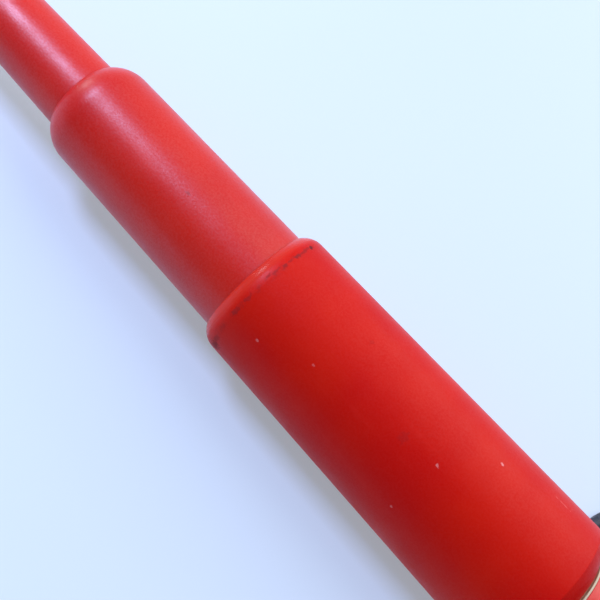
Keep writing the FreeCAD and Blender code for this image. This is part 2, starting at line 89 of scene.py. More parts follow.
MIDDLE = (-0.04, 0.0, 0.02)       # the lights' aim, about the middle of what the camera sees
LIGHTS = [                        # name, place, aim, size, power in watts, colour
    ("overhead", (-0.52, -0.02, 0.60), MIDDLE, (0.18, 0.22), 5.8, (0.50, 0.61, 1.0)),
    ("window", (0.10, 0.42, 0.68), MIDDLE, (0.70, 0.60), 2.3, (1.0, 1.0, 0.95)),
    ("far_window", (0.14, 0.68, 0.36), MIDDLE, (0.55, 0.34), 1.65, (1.0, 0.98, 0.90)),
    ("low_window", (-2.18, 0.32, 0.52), (-0.06, 0, 0.03), (0.26, 0.19), 8.0, (0.80, 0.90, 1.0)),
]
ROOM_COLOUR = (0.74, 0.86, 1.0)
ROOM_BRIGHT_SIDE = (-0.1, 0.95, 0.25)
ROOM_DARK = 0.36                  # strength away from the bright side
ROOM_LIGHT = 0.90                 # strength towards it
ROOM_FULL_AT = 0.95               # cosine to the bright side at which it is reached


def row(station, y=0.0, z=0.0):
    """A point in metres from a station and offsets from the axis in millimetres."""
    return Vector((ORIGIN_X + station * MM, y * MM, AXIS_Z + z * MM))


def make_camera():
    data = bpy.data.cameras.new("camera")
    data.lens = CAMERA_LENS
    data.sensor_width = SENSOR
    data.clip_start = 0.01
    camera = bpy.data.objects.new("camera", data)
    scene.collection.objects.link(camera)
    camera.location = CAMERA_AT
    look = Vector(CAMERA_TARGET) - Vector(CAMERA_AT)
    aim = look.to_track_quat("-Z", "Y")
    roll = Quaternion((0, 0, 1), math.radians(CAMERA_ROLL))
    camera.rotation_mode = "QUATERNION"
    camera.rotation_quaternion = aim @ roll
    scene.camera = camera


def area_light(name, place, aim, size, power, colour):
    data = bpy.data.lights.new(name, "AREA")
    data.shape = "RECTANGLE"
    data.size, data.size_y = size
    data.energy = power
    data.color = colour
    light = bpy.data.objects.new(name, data)
    scene.collection.objects.link(light)
    light.location = place
    turn = (Vector(aim) - Vector(place)).to_track_quat("-Z", "Y")
    light.rotation_euler = turn.to_euler()


def make_room():
    """The room's own light: a smooth change from a dark side to a bright side."""
    world = bpy.data.worlds.new("soft_room")
    scene.world = world
    world.use_nodes = True
    tree = world.node_tree
    direction = tree.nodes.new("ShaderNodeTexCoord").outputs["Generated"]
    facing = tree.nodes.new("ShaderNodeVectorMath")
    facing.operation = "DOT_PRODUCT"
    tree.links.new(direction, facing.inputs[0])
    facing.inputs[1].default_value = Vector(ROOM_BRIGHT_SIDE).normalized()
    fade = tree.nodes.new("ShaderNodeMapRange")
    fade.interpolation_type = "SMOOTHSTEP"
    tree.links.new(facing.outputs["Value"], fade.inputs["Value"])
    fade.inputs["From Min"].default_value = 0.0
    fade.inputs["From Max"].default_value = ROOM_FULL_AT
    fade.inputs["To Min"].default_value = ROOM_DARK
    fade.inputs["To Max"].default_value = ROOM_LIGHT
    background = tree.nodes["Background"]
    background.inputs["Color"].default_value = (*ROOM_COLOUR, 1)
    tree.links.new(fade.outputs["Result"], background.inputs["Strength"])


# ------------------------------------------------------------------ node helper
class Shader:
    """A small wrapper that builds one material's node tree."""

    def __init__(self, name):
        self.material = bpy.data.materials.new(name)
        self.material.use_nodes = True
        self.tree = self.material.node_tree
        self.tree.nodes.clear()
        self.out = self.node("ShaderNodeOutputMaterial")
        self.surface = self.node("ShaderNodeBsdfPrincipled")
        self.join(self.surface.outputs[0], self.out.inputs["Surface"])
        self.coordinates = self.node("ShaderNodeTexCoord").outputs["Object"]

    def node(self, kind, **settings):
        made = self.tree.nodes.new(kind)
        for key, value in settings.items():
            setattr(made, key, value)
        return made

    def join(self, a, b):
        self.tree.links.new(a, b)

    def put(self, socket, value):
        if isinstance(value, bpy.types.NodeSocket):
            self.join(value, socket)
        else:
            socket.default_value = value

    def math(self, operation, a, b=0.0):
        made = self.node("ShaderNodeMath", operation=operation)
        for socket, value in zip(made.inputs, (a, b)):
            self.put(socket, value)
        return made.outputs[0]

    def noise(self, scale, detail, roughness=0.5, stretch=(1, 1, 1)):
        """Noise from 0 to 1; scale is in cells per metre, stretch thins them by axis."""
        mapping = self.node("ShaderNodeMapping")
        mapping.inputs["Scale"].default_value = stretch
        self.join(self.coordinates, mapping.inputs["Vector"])
        made = self.node("ShaderNodeTexNoise")
        self.join(mapping.outputs[0], made.inputs["Vector"])
        made.inputs["Scale"].default_value = scale
        made.inputs["Detail"].default_value = detail
        made.inputs["Roughness"].default_value = roughness
        return made.outputs["Fac"]

    def span(self, value, low, high, to_low=0.0, to_high=1.0):
        """A smooth step of a value from one range to another, held at both ends."""
        made = self.node("ShaderNodeMapRange", interpolation_type="SMOOTHSTEP")
        for key, item in (
            ("Value", value),
            ("From Min", low),
            ("From Max", high),
            ("To Min", to_low),
            ("To Max", to_high),
        ):
            self.put(made.inputs[key], item)
        return made.outputs["Result"]

    def mix(self, factor, a, b):
        made = self.node("ShaderNodeMix", data_type="RGBA")
        self.put(made.inputs["Factor"], factor)
        for socket, value in ((made.inputs["A"], a), (made.inputs["B"], b)):
            self.put(socket, (*value, 1) if isinstance(value, tuple) else value)
        return made.outputs["Result"]

    def bump(self, height, strength, distance, after=None):
        """A bumped normal, on top of another one if after is given."""
        made = self.node("ShaderNodeBump")
        made.inputs["Strength"].default_value = strength
        made.inputs["Distance"].default_value = distance
        self.put(made.inputs["Height"], height)
        if after is not None:
            self.join(after, made.inputs["Normal"])
        return made.outputs["Normal"]

    def split(self):
        made = self.node("ShaderNodeSeparateXYZ")
        self.join(self.coordinates, made.inputs[0])
        return made.outputs

    def around_axis(self):
        """(station in millimetres, angle from straight up towards +Y in radians)."""
        x, y, z = self.split()
        station = self.math("MULTIPLY", self.math("SUBTRACT", x, ORIGIN_X), 1 / MM)
        angle = self.math("ARCTAN2", y, self.math("SUBTRACT", z, AXIS_Z))
        return station, angle

    def finish(self, colour, roughness, normal=None, **fixed):
        """Join the surface's inputs; fixed holds values that are the same all over."""
        self.put(self.surface.inputs["Base Color"], colour)
        self.put(self.surface.inputs["Roughness"], roughness)
        if normal is not None:
            self.join(normal, self.surface.inputs["Normal"])
        for key, value in fixed.items():
            title = key.replace("_", " ").title().replace("Ior", "IOR")
            self.surface.inputs[title].default_value = value
        return self.material


# ------------------------------------------------------------------ materials
# Marks on the tubes: station, angle in degrees from straight up towards the far side, and
# the mark's length along the baton and round it, in millimetres, with its strength.
SCUFFS = [
    (5.7, 32, 0.8, 0.9, 0.9),
    (5.3, 27, 0.5, 1.4, 0.4),
    (5.6, 20, 0.4, 2.0, 0.4),
    (5.5, 13, 0.6, 1.4, 0.6),
    (5.4, 6, 0.4, 1.7, 0.35),
    (5.4, 0, 0.5, 1.3, 0.5),
    (5.1, -8, 0.4, 2.0, 0.3),
    (4.7, -15, 0.5, 1.5, 0.4),
    (5.3, -37, 0.6, 2.0, 0.32),
    (5.5, -49, 0.7, 1.8, 0.36),
    (6.8, -94, 1.5, 3.0, 0.6),
    (6.2, -84, 0.8, 2.4, 0.35),
    (33.0, 8, 0.6, 0.9, 0.15),
    (54.0, -22, 1.4, 1.6, 0.16),
]
LIP_LINE = 5.5                    # station of the line of dirt behind the outer tube's lip
SPECKS = [
    (14.1, -53, 0.45, 0.4, 0.22),
    (27.6, -34, 0.4, 0.3, 0.16),
    (63.8, -19, 0.5, 0.4, 0.30),
    (74.6, 16, 0.55, 0.45, 0.45),
    (64.0, -62, 0.45, 0.3, 0.25),
    (92.0, 34, 2.6, 0.25, 0.18),
]
MID_SCUFFS = [(-24.1, -14, 0.8, 0.5, 0.35)]


def marks(shader, listed, radius):
    """How strongly any of the listed marks covers a point, from 0 to 1."""
    station, angle = shader.around_axis()
    ragged = shader.span(shader.noise(1100, 2), 0.3, 0.7, 0.6, 1.5)
    covered = None
    for at, degrees, length, width, strength in listed:
        along = shader.math("DIVIDE", shader.math("SUBTRACT", station, at), length)
        turn = shader.math("SUBTRACT", angle, math.radians(degrees))
        across = shader.math("MULTIPLY", turn, radius / width)
        squares = shader.math(
            "ADD",
            shader.math("POWER", shader.math("ABSOLUTE", along), 2.0),
            shader.math("POWER", shader.math("ABSOLUTE", across), 2.0),
        )
        far = shader.math("MULTIPLY", shader.math("SQRT", squares), ragged)
        here = shader.span(far, 0.45, 1.1, strength, 0.0)
        covered = here if covered is None else shader.math("MAXIMUM", covered, here)
    return covered


def red_tube(
    name, radius, scuffs=(), specks=(), lip_dirt_gloss_and_painted_glow=False, fade=0.0, shine=0.5, matt=0.43
):
    """Satin dyed polyethylene: fine orange-peel, cloudy colour and handling marks.

    fade pales the dye, shine is the mean specular level and matt the mean roughness."""
    s = Shader(name)
    cloud = s.span(s.noise(28, 3, 0.55), 0.3, 0.7)
    deep = (0.525 + fade, 0.0016 + fade * 0.10, 0.0003 + fade * 0.08)
    bright = (0.585 + fade, 0.0075 + fade * 0.14, 0.0006 + fade * 0.12)
    colour = s.mix(cloud, deep, bright)
    streak = s.noise(160, 4, 0.6, (0.12, 1, 1))
    colour = s.mix(s.span(streak, 0.55, 0.8, 0, 0.16), colour, (0.80, 0.035, 0.025))
    rough = s.span(s.noise(90, 4, 0.6), 0.3, 0.7, matt - 0.03, matt + 0.04)
    station, _ = s.around_axis()
    if scuffs:
        dirt = marks(s, scuffs, radius)
        colour = s.mix(dirt, colour, (0.10, 0.012, 0.016))
        rough = s.math("ADD", rough, s.math("MULTIPLY", dirt, 0.25))
    if lip_dirt_gloss_and_painted_glow:
        off_line = s.math("ABSOLUTE", s.math("SUBTRACT", station, LIP_LINE))
        ring = s.span(off_line, 0.2, 1.3, 1, 0)
        grime = s.span(s.noise(420, 5, 0.75), 0.44, 0.66)
        band = s.math("MULTIPLY", s.math("MULTIPLY", ring, grime), 0.34)
        colour = s.mix(band, colour, (0.20, 0.012, 0.014))
        # Painted glow: up to about station 4.6 the lip's front is painted a paler orange for the
        # light that shows through the plastic's edge there. The lower roughness on it is the lip's
        # real gloss.
        lip = s.span(station, 2.6, 4.6, 1, 0)
        colour = s.mix(s.math("MULTIPLY", lip, 0.5), colour, (0.62, 0.040, 0.022))
        rough = s.math("SUBTRACT", rough, s.math("MULTIPLY", lip, 0.22))
    if specks:
        pale = marks(s, specks, radius)
        colour = s.mix(pale, colour, (0.80, 0.42, 0.38))
    grain = s.noise(1900, 3, 0.65)
    fine = s.bump(grain, 0.5, 0.00006)
    normal = s.bump(s.noise(330, 4, 0.6), 0.14, 0.00012, fine)
    level = s.span(grain, 0.3, 0.7, shine * 0.72, shine * 1.3)
    s.join(level, s.surface.inputs["Specular IOR Level"])
    s.surface.subsurface_method = "RANDOM_WALK"
    s.surface.inputs["Subsurface Radius"].default_value = (1.0, 0.12, 0.08)
    return s.finish(colour, rough, normal, subsurface_weight=0.1, subsurface_scale=0.002)


def plastic(name, dark, light, roughness=0.45, grain=0.12, scale=900, **fixed):
    """Moulded plastic or rubber: a fine moulded grain, slightly cloudy colour, rubbed areas."""
    s = Shader(name)
    cloud = s.span(s.noise(70, 4, 0.6), 0.3, 0.7)
    worn = s.span(s.noise(240, 5, 0.7), 0.60, 0.78, 0, 0.35)
    rubbed = tuple(min(1.0, c * 1.5 + 0.01) for c in light)
    colour = s.mix(worn, s.mix(cloud, dark, light), rubbed)
    rough = s.span(s.noise(130, 3, 0.6), 0.3, 0.7, roughness - 0.06, roughness + 0.06)
    normal = s.bump(s.noise(scale, 3, 0.6), grain, 0.0001)
    return s.finish(colour, rough, normal, **fixed)


def metal(name, dark, light, roughness):
    """Drawn or plated metal with fine lines along the baton."""
    s = Shader(name)
    lines = s.noise(900, 3, 0.6, (0.2, 1, 1))
    colour = s.mix(s.span(lines, 0.3, 0.7), dark, light)
    rough = s.span(lines, 0.3, 0.7, roughness - 0.08, roughness + 0.08)
    return s.finish(colour, rough, s.bump(lines, 0.03, 0.00005), metallic=1.0)


def cord_material():
    """Black nylon braid; the strands are in the mesh, the fibres are here."""
    s = Shader("braided_nylon")
    fibre = s.noise(4200, 3, 0.7, (1, 0.35, 1))
    colour = s.mix(s.span(fibre, 0.3, 0.7), (0.006, 0.007, 0.012), (0.030, 0.034, 0.055))
    rough = s.span(fibre, 0.3, 0.7, 0.38, 0.58)
    normal = s.bump(fibre, 0.3, 0.0001)
    return s.finish(colour, rough, normal, sheen_weight=0.35, sheen_roughness=0.35)


def lens_material():
    """Clear acrylic with a little haze."""
    s = Shader("clear_lens")
    haze = s.noise(500, 3, 0.6)
    rough = s.span(haze, 0.35, 0.7, 0.04, 0.14)
    colour = s.mix(s.span(haze, 0.3, 0.7), (0.90, 0.94, 0.96), (0.97, 0.98, 1.0))
    return s.finish(colour, rough, transmission_weight=0.9, ior=1.49)


def board_material():
    """Solder mask with a few generic tracks and pads."""
    s = Shader("circuit_board")
    tracks = s.node("ShaderNodeTexBrick")
    tracks.inputs["Scale"].default_value = 420
    tracks.inputs["Mortar Size"].default_value = 0.03
    s.join(s.coordinates, tracks.inputs["Vector"])
    green = s.mix(s.noise(300, 3), (0.006, 0.075, 0.022), (0.012, 0.12, 0.04))
    colour = s.mix(s.span(tracks.outputs["Fac"], 0.0, 1.0, 0, 0.6), green, (0.03, 0.22, 0.07))
    return s.finish(colour, 0.3, s.bump(tracks.outputs["Fac"], 0.2, 0.0001))


def cell_material():
    """A plain two-tone wrapper, dark with a lighter band at the positive end."""
    s = Shader("cell_wrapper")
    station, _ = s.around_axis()
    local = s.math("MODULO", s.math("SUBTRACT", station, CELLS_FROM), CELL_LENGTH)
    band = s.span(local, 11.5, 12.0, 1, 0)
    wrap = s.mix(s.noise(60, 2), (0.020, 0.030, 0.085), (0.030, 0.045, 0.12))
    colour = s.mix(band, wrap, (0.62, 0.42, 0.10))
    rough = s.span(s.noise(400, 3), 0.3, 0.7, 0.22, 0.34)
    return s.finish(colour, rough, s.bump(s.noise(700, 2), 0.05, 0.0001), metallic=0.35)


def floor_material():
    """A plain pale surface; its slight glow keeps the shadows as pale as the room is."""
    s = Shader("pale_table")
    cloud = s.noise(3.0, 2)
    colour = s.mix(s.span(cloud, 0.3, 0.7), (0.375, 0.420, 0.51), (0.400, 0.445, 0.53))
    s.surface.inputs["Emission Color"].default_value = (0.75, 0.89, 0.98, 1)
    s.surface.inputs["Emission Strength"].default_value = 0.34
    return s.finish(colour, 0.5, s.bump(s.noise(260, 3), 0.03, 0.0002), specular_ior_level=0.2)


# ------------------------------------------------------------------ outlines
def arc_points(centre, radius, start, end, count):
    """Points on an arc, angles in degrees from the tail's direction towards outwards."""
    made = []
    for index in range(count + 1):
        angle = math.radians(start + (end - start) * index / count)
        made.append((centre[0] + radius * math.cos(angle), centre[1] + radius * math.sin(angle)))
    return made


CORNER_STEPS = 5


def softened(points, closed=True):
    """The outline with each (station, r, radius) corner rounded by about that radius."""
    total = len(points)
    made = []
    for index, point in enumerate(points):
        if len(point) == 2 or (not closed and index in (0, total - 1)):
            made.append(point[:2])
            continue
        here = Vector(point[:2])
        before = Vector(points[index - 1][:2]) - here
        after = Vector(points[(index + 1) % total][:2]) - here
        half = before.angle(after) / 2
        reach = min(point[2] / math.tan(half), 0.49 * before.length, 0.49 * after.length)
        a = here + before.normalized() * reach
        b = here + after.normalized() * reach
        for step in range(CORNER_STEPS + 1):
            t = step / CORNER_STEPS
            curve = a * (1 - t) ** 2 + here * 2 * t * (1 - t) + b * t**2
            made.append((curve.x, curve.y))
    return made


# ------------------------------------------------------------------ mesh helpers
SHARP_FROM = math.radians(38)     # edges that turn by more than this stay sharp


def add_piece(name, mesh, material, body, nodes=()):
    """Link a mesh as one piece, ride it on a body and let it stand for CAD nodes."""
    mesh.shade_smooth()
    mesh.set_sharp_from_angle(angle=SHARP_FROM)
    mesh.materials.append(material)
    piece = bpy.data.objects.new(name, mesh)
    scene.collection.objects.link(piece)
    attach(piece, body)
    if nodes:
        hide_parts(*nodes)
    return piece


def quads(rings, steps, closed=False):
    """Faces between rings of points, and from the last ring to the first if closed."""
    faces = []
    for index in range(rings if closed else rings - 1):
        here = index * steps
        after = (index + 1) % rings * steps
        for step in range(steps):
            turn = (step + 1) % steps
            faces.append((here + step, after + step, after + turn, here + turn))
    return faces


def mesh_from(name, vertices, faces):
    """A mesh with doubled points merged and its faces turned outwards."""
    mesh = bpy.data.meshes.new(name)
    mesh.from_pydata([tuple(v) for v in vertices], [], faces)
    tidy = bmesh.new()
    tidy.from_mesh(mesh)
    bmesh.ops.remove_doubles(tidy, verts=tidy.verts, dist=1e-7)
    bmesh.ops.recalc_face_normals(tidy, faces=tidy.faces)
    tidy.to_mesh(mesh)
    tidy.free()
    return mesh


def turned_mesh(name, outline, steps=STEPS, closed=True, shape=None):
    """A mesh turned about the baton's axis from (station, radius) points in millimetres.

    closed joins the last point to the first, for a ring. shape(station, radius, angle) may
    return another radius, for flutes and flats."""
    vertices = []
    for station, radius in outline:
        for step in range(steps):
            angle = 2 * math.pi * step / steps
            r = radius if shape is None else shape(station, radius, angle)
            vertices.append(row(station, r * math.sin(angle), r * math.cos(angle)))
    mesh = mesh_from(name, vertices, quads(len(outline), steps, closed))
    clean = bmesh.new()           # drop the faces that shrank to nothing on the axis
    clean.from_mesh(mesh)
    bmesh.ops.dissolve_degenerate(clean, edges=clean.edges, dist=1e-8)
    clean.to_mesh(mesh)
    clean.free()
    return mesh


def rounded_box(name, low, high, radius, segments):
    """A box with rounded edges; its corners and radius are in metres."""
    made = bmesh.new()
    bmesh.ops.create_cube(made, size=1)
    size = Vector(high) - Vector(low)
    middle = (Vector(high) + Vector(low)) / 2
    for vertex in made.verts:
        vertex.co = Vector(c * s for c, s in zip(vertex.co, size)) + middle
    edges = list(made.edges)
    bmesh.ops.bevel(
        made, geom=edges, offset=radius, segments=segments, profile=0.5, affect="EDGES"
    )
    mesh = bpy.data.meshes.new(name)
    made.to_mesh(mesh)
    made.free()
    return mesh


def round_piece(name, place, direction, outline, steps):
    """A turned mesh about any axis: outline is (distance along, radius) in millimetres."""
    aim = Vector(direction).to_track_quat("Z", "Y").to_matrix()
    vertices = []
    for along, radius in outline:
        for step in range(steps):
            angle = 2 * math.pi * step / steps
            local = Vector((radius * math.cos(angle), radius * math.sin(angle), along)) * MM
            vertices.append(Vector(place) + aim @ local)
    return mesh_from(name, vertices, quads(len(outline), steps))


# ------------------------------------------------------------------ lit tubes
EDGE = 0.5                        # how far above the bore the lip's arc ends
EDGE_POINTS = [(0.03, 0.32), (0.12, 0.15), (0.26, 0.04), (0.42, 0.0)]
CONE_STEPS = 14                   # quads down the outside of a cone, so that they stay even


def tube_outline(mouth, base, radius, taper, lip, bore, guide, wall):
    """The lip, bore and inside of a conical tube, and the radius of its outside by station.

    lip is the rounded mouth's radius and guide the length of the narrow bore behind it."""

    def cone(x):
        return radius + taper * (x - mouth)

    slope = math.degrees(math.atan(taper))
    centre = (mouth + lip, cone(mouth + lip) - lip / math.cos(math.radians(slope)))
    last = math.degrees(math.asin((bore + EDGE - centre[1]) / lip))
    outline = arc_points(centre, lip, 90 + slope, 180 - last, 20)
    edge_x = outline[-1][0]
    outline += [(edge_x + x, bore + r) for x, r in EDGE_POINTS]
    step = edge_x + 0.4 + guide
    outline += [
        (step, bore),
        (step, cone(step) - wall),
        ((step + base) / 2, cone((step + base) / 2) - wall),
        (base, cone(base) - wall),
    ]
    return outline, cone


def finish_cone(cone, start, base):
    """Points down the outside of a cone, from its base to its start."""
    stations = [base + (start - base) * i / CONE_STEPS for i in range(CONE_STEPS + 1)]
    return [(x, cone(x)) for x in stations]


def make_outer_tube(material):
    """The widest tube; its back end rounds in to the neck."""
    base, wall, even_to = 103.8, 1.8, 98.0
    floor_at = base + 0.6         # inside face of the back
    outline, cone = tube_outline(0, base, 19.0, 0.021, 6.0, 16.3, 5.0, wall)
    base_r = cone(base)
    crease = softened(
        [(even_to, cone(even_to)), (base, base_r, 0.35), (105.3, base_r - 0.85)], closed=False
    )
    shoulder = crease[1:] + [
        (106.5, base_r - 1.85),
        (107.4, base_r - 2.95),
        (108.0, base_r - 3.85),
        (OUTER_BACK - 0.15, base_r - 4.45),
        (OUTER_BACK, base_r - 4.8),
    ]
    outline += [(floor_at, cone(floor_at) - wall), (floor_at, TUBE_SEAT), (OUTER_BACK, TUBE_SEAT)]
    outline += shoulder[::-1]
    outline += finish_cone(cone, outline[0][0] + 1, even_to)
    mesh = turned_mesh("outer_tube_skin", outline)
    add_piece("outer_tube_skin", mesh, material, "handle", ["outer_tube"])


def make_mid_tube(material):
    base = 15.0
    outline, cone = tube_outline(MID_MOUTH, base, 14.8, 0.0191, 10.0, 11.1, 6.0, 1.7)
    outline += finish_cone(cone, outline[0][0] + 1, base)
    mesh = turned_mesh("mid_tube_skin", outline)
    add_piece("mid_tube_skin", mesh, material, "mid", ["mid_tube"])


def make_tip_tube(material):
    """The thinnest tube and the crowned plug that closes it."""
    base, wall = MID_MOUTH + 14.9, 1.5

    def cone(x):
        return 10.8 + 0.0252 * (x - MID_MOUTH)

    r = cone(TIP_END)
    outline = [(TIP_END, r - wall), (base, cone(base) - wall)]
    outline += finish_cone(cone, TIP_END + 0.3, base)
    outline += [(TIP_END + 0.1, r - 0.08), (TIP_END, r - 0.3)]
    mesh = turned_mesh("tip_tube_skin", outline, STEPS_SMALL)
    add_piece("tip_tube_skin", mesh, material, "tip", ["tip_tube"])
    plug = softened(
        [
            (TIP_END + 7, 0),
            (TIP_END + 7, r - 1.6, 0.6),
            (TIP_END + 0.02, r - 1.6),
            (TIP_END + 0.02, r, 0.15),
            (TIP_END - 0.8, r, 0.6),
            (TIP_END - 2.5, r - 2.6, 2.0),
            (TIP_END - 2.5, 0),
        ],
        closed=False,
    )
    mesh = turned_mesh("tip_plug", plug, STEPS_SMALL, closed=False)
    add_piece("tip_plug", mesh, material, "tip", ["tip_cap"])


# ------------------------------------------------------------------ handle
def make_seal(material):
    """The pale ring between the outer tube's back and the collar."""
    front, step, back = OUTER_BACK + 0.02, 109.22, 109.8
    outline = softened(
        [
            (front, TUBE_SEAT),
            (back, TUBE_SEAT),
            (back, 16.15, 0.12),
            (step, 16.15, 0.2),
            (step, 15.0),
            (front, 15.0),
        ]
    )
    mesh = turned_mesh("seal_ring", outline)
    add_piece("seal_ring", mesh, material, "handle", ["head_seal"])


def make_collar(material):
    """The collar that clamps the outer tube, with 18 finger flutes round it."""
    radius, bore, neck, spigot = 16.0, 11.0, 14.1, 13.4
    front, back = 99.0, 121.0

    def fluted(station, r, angle):
        if r < 15.2 or not 111.2 < station < 116.2:
            return r
        wave = 0.5 + 0.5 * math.cos(18 * angle)
        return r - 0.6 * wave**6

    middle = [(110.8 + 0.4 * i, radius) for i in range(15)]
    outline = softened(
        [
            (front, bore),
            (back, bore),
            (back, spigot),
            (BARREL_FROM, spigot),
            (BARREL_FROM, radius, 0.5),
        ]
    )
    outline += middle[::-1]
    outline += softened(
        [(110.6, radius), (109.81, radius, 0.5), (109.81, neck), (front, neck)], closed=False
    )
    mesh = turned_mesh("collar_ring", outline, 360, shape=fluted)
    add_piece("collar_ring", mesh, material, "handle", ["lamp_collar"])


def make_barrel(material):
    """The handle's tube, and the flat pad under the switch."""
    bore = 13.5
    outline = softened(
        [
            (BARREL_FROM, bore),
            (BARREL_TO, bore),
            (BARREL_TO, BARREL_R, 0.5),
            (BARREL_FROM, BARREL_R, 0.4),
        ]
    )
    mesh = turned_mesh("barrel_tube", outline)
    add_piece("barrel_tube", mesh, material, "handle", ["handle_barrel"])
    low = row(SWITCH_AT - 7.5, -7.6, 12.0)
    high = row(SWITCH_AT + 7.5, 7.6, PAD_TOP)
    pad = rounded_box("switch_pad", low, high, 0.9 * MM, 5)
    add_piece("switch_pad", pad, material, "handle")


def make_grip(material):
    """The rubber grip; each rib round it is cut by 12 shallow slots."""
    start, end, radius, rib = 146.0, 230.0, 17.9, 0.8
    plain, pitch = 4.0, 5.2       # length without ribs at each end, and from rib to rib
    count = int((end - start - 2 * plain) / pitch)
    first = (start + end - (count - 1) * pitch) / 2
    corner = [(0.0, 0.7), (0.25, 0.25), (0.7, 0.0)]
    outer = [(start, SLEEVE_BORE)] + [(start + x, radius - drop) for x, drop in corner]
    for index in range(count):
        middle = first + index * pitch
        outer.append((middle - rib - 0.35, radius))
        outer += arc_points((middle, radius), rib, 172, 8, 8)
        outer.append((middle + rib + 0.35, radius))
    outer += [(end - x, radius - drop) for x, drop in corner[::-1]] + [(end, SLEEVE_BORE)]

    def slotted(station, r, angle):
        if r < radius + 0.2:
            return r
        wave = 0.5 + 0.5 * math.cos(12 * angle)
        return r - (r - radius) * 0.7 * wave**10

    mesh = turned_mesh("grip_ribs", outer, 240, shape=slotted)
    add_piece("grip_ribs", mesh, material, "handle", ["grip_sleeve"])


def make_guard(material):
    """The eight-sided ring that stops the baton rolling, with a groove round its middle."""
    inradius, edge, groove = 21.2, 1.6, 0.5
    front, middle, back = 234.0, 240.0, 246.0
    corner_limit, power = 1.056, 40   # where the eight corners round off, and how sharply

    def flats(station, radius, angle):
        if radius < 17.0:
            return radius
        turn = (angle + math.pi / 8) % (math.pi / 4) - math.pi / 8
        flat = 1 / math.cos(turn)
        blend = 1 / (flat**-power + corner_limit**-power) ** (1 / power)
        return min(radius * blend, radius * flat)

    outline = softened(
        [
            (front, SLEEVE_BORE),
            (front, inradius - edge, 0.4),
            (front + edge, inradius, 0.6),
            (middle - 1.1, inradius, 0.3),
            (middle - 0.7, inradius - groove, 0.2),
            (middle + 0.7, inradius - groove, 0.2),
            (middle + 1.1, inradius, 0.3),
            (back - edge, inradius, 0.6),
            (back, inradius - edge, 0.4),
            (back, SLEEVE_BORE),
        ]
    )
    mesh = turned_mesh("guard_octagon", outline, 480, shape=flats)
    add_piece("guard_octagon", mesh, material, "handle", ["tail_guard"])


def make_cap(material, steel):
    """The ribbed battery cap, the magnet in its end and the two bayonet lugs on its skirt."""
    radius, skirt, bore, pocket = 15.8, 13.4, 11.0, 9.06
    pocket_floor = TAIL - 3.0
    face = BARREL_TO + 0.02       # the shoulder that meets the barrel's end
    ribs_from, rib_count, rib_depth = BARREL_TO + 0.4, 24, 0.75

    def ribbed(station, r, angle):
        if r < 14.6 or station < ribs_from:
            return r
        wave = 0.5 + 0.5 * math.cos(rib_count * angle)
        return r - rib_depth * wave**4 * min(1.0, (station - ribs_from) / 2)

    side = [(face + 0.8 * i, radius) for i in range(14)]
    outline = softened([(CAP_FROM, bore), (CAP_FROM, skirt, 0.2), (face, skirt)]) + side
    outline += softened(
        [
            (TAIL - 0.8, radius),
            (TAIL, 14.7, 0.8),
            (TAIL, 11.4, 0.3),
            (TAIL - 0.4, 11.0, 0.2),
            (TAIL - 0.4, 10.2, 0.2),
            (TAIL, 9.8, 0.2),
            (TAIL, pocket, 0.1),
            (pocket_floor, pocket),
            (pocket_floor, 0.0),
        ],
        closed=False,
    )
    outline += [(BARREL_TO + 1, 0.0), (BARREL_TO + 1, bore)]
    mesh = turned_mesh("cap_body", outline, 384, shape=ribbed)
    add_piece("cap_body", mesh, material, "cap", ["battery_cap"])
    disc_r, seat = pocket - 0.07, pocket_floor + 0.02
    magnet = softened(
        [(seat, 0), (seat, disc_r, 0.1), (TAIL, disc_r, 0.35), (TAIL, 0)], closed=False
    )
    mesh = turned_mesh("magnet_disc", magnet, 160, closed=False)
    add_piece("magnet_disc", mesh, steel, "cap", ["tail_magnet"])
    for number, degrees in ((1, 90), (2, 270)):
        low = Vector((ORIGIN_X + (CAP_FROM + 0.7) * MM, -2 * MM, 12.6 * MM))
        high = Vector((ORIGIN_X + (CAP_FROM + 3.1) * MM, 2 * MM, 14.6 * MM))
        lug = rounded_box("cap_lug", low, high, 0.3 * MM, 3)
        turn = Matrix.Rotation(math.radians(degrees), 4, "X")
        lug.transform(Matrix.Translation((0, 0, AXIS_Z)) @ turn)
        add_piece(f"cap_lug_{number}", lug, material, "cap")


def make_switch(rubber, hard):
    """The bezel on the pad, and the button with six raised dots."""
    bezel = softened([(0.02, 4.75), (1.0, 4.75, 0.25), (1.0, 6.6, 0.5), (0.02, 6.6)])
    bezel.append(bezel[0])
    mesh = round_piece("bezel_ring", row(SWITCH_AT, 0, PAD_TOP), UP, bezel, STEPS_SWITCH)
    add_piece("bezel_ring", mesh, hard, "handle", ["switch_bezel"])
    crown = softened(
        [
            (0.0, 0.0),
            (0.0, 5.3, 0.1),
            (0.8, 5.3, 0.1),
            (0.8, 4.5),
            (8.2, 4.5, 0.9),
            (8.0, 3.2, 0.5),
            (7.6, 0.0),
        ],
        closed=False,
    )
    mesh = round_piece("button_cap", row(SWITCH_AT, 0, 11.2), UP, crown, STEPS_SWITCH)
    add_piece("button_cap", mesh, rubber, "button", ["power_button"])
    ring, face = 1.9, 18.88       # radius of the ring of dots, and the button's face
    bead = [(0, 0), (0, 0.42), (0.12, 0.36), (0.2, 0.2), (0.24, 0)]
    for index in range(6):
        angle = math.radians(60 * index)
        spot = row(SWITCH_AT + ring * math.cos(angle), ring * math.sin(angle), face)
        dot = round_piece("button_dot", spot, UP, bead, 20)
        add_piece(f"button_dot_{index + 1}", dot, rubber, "button")


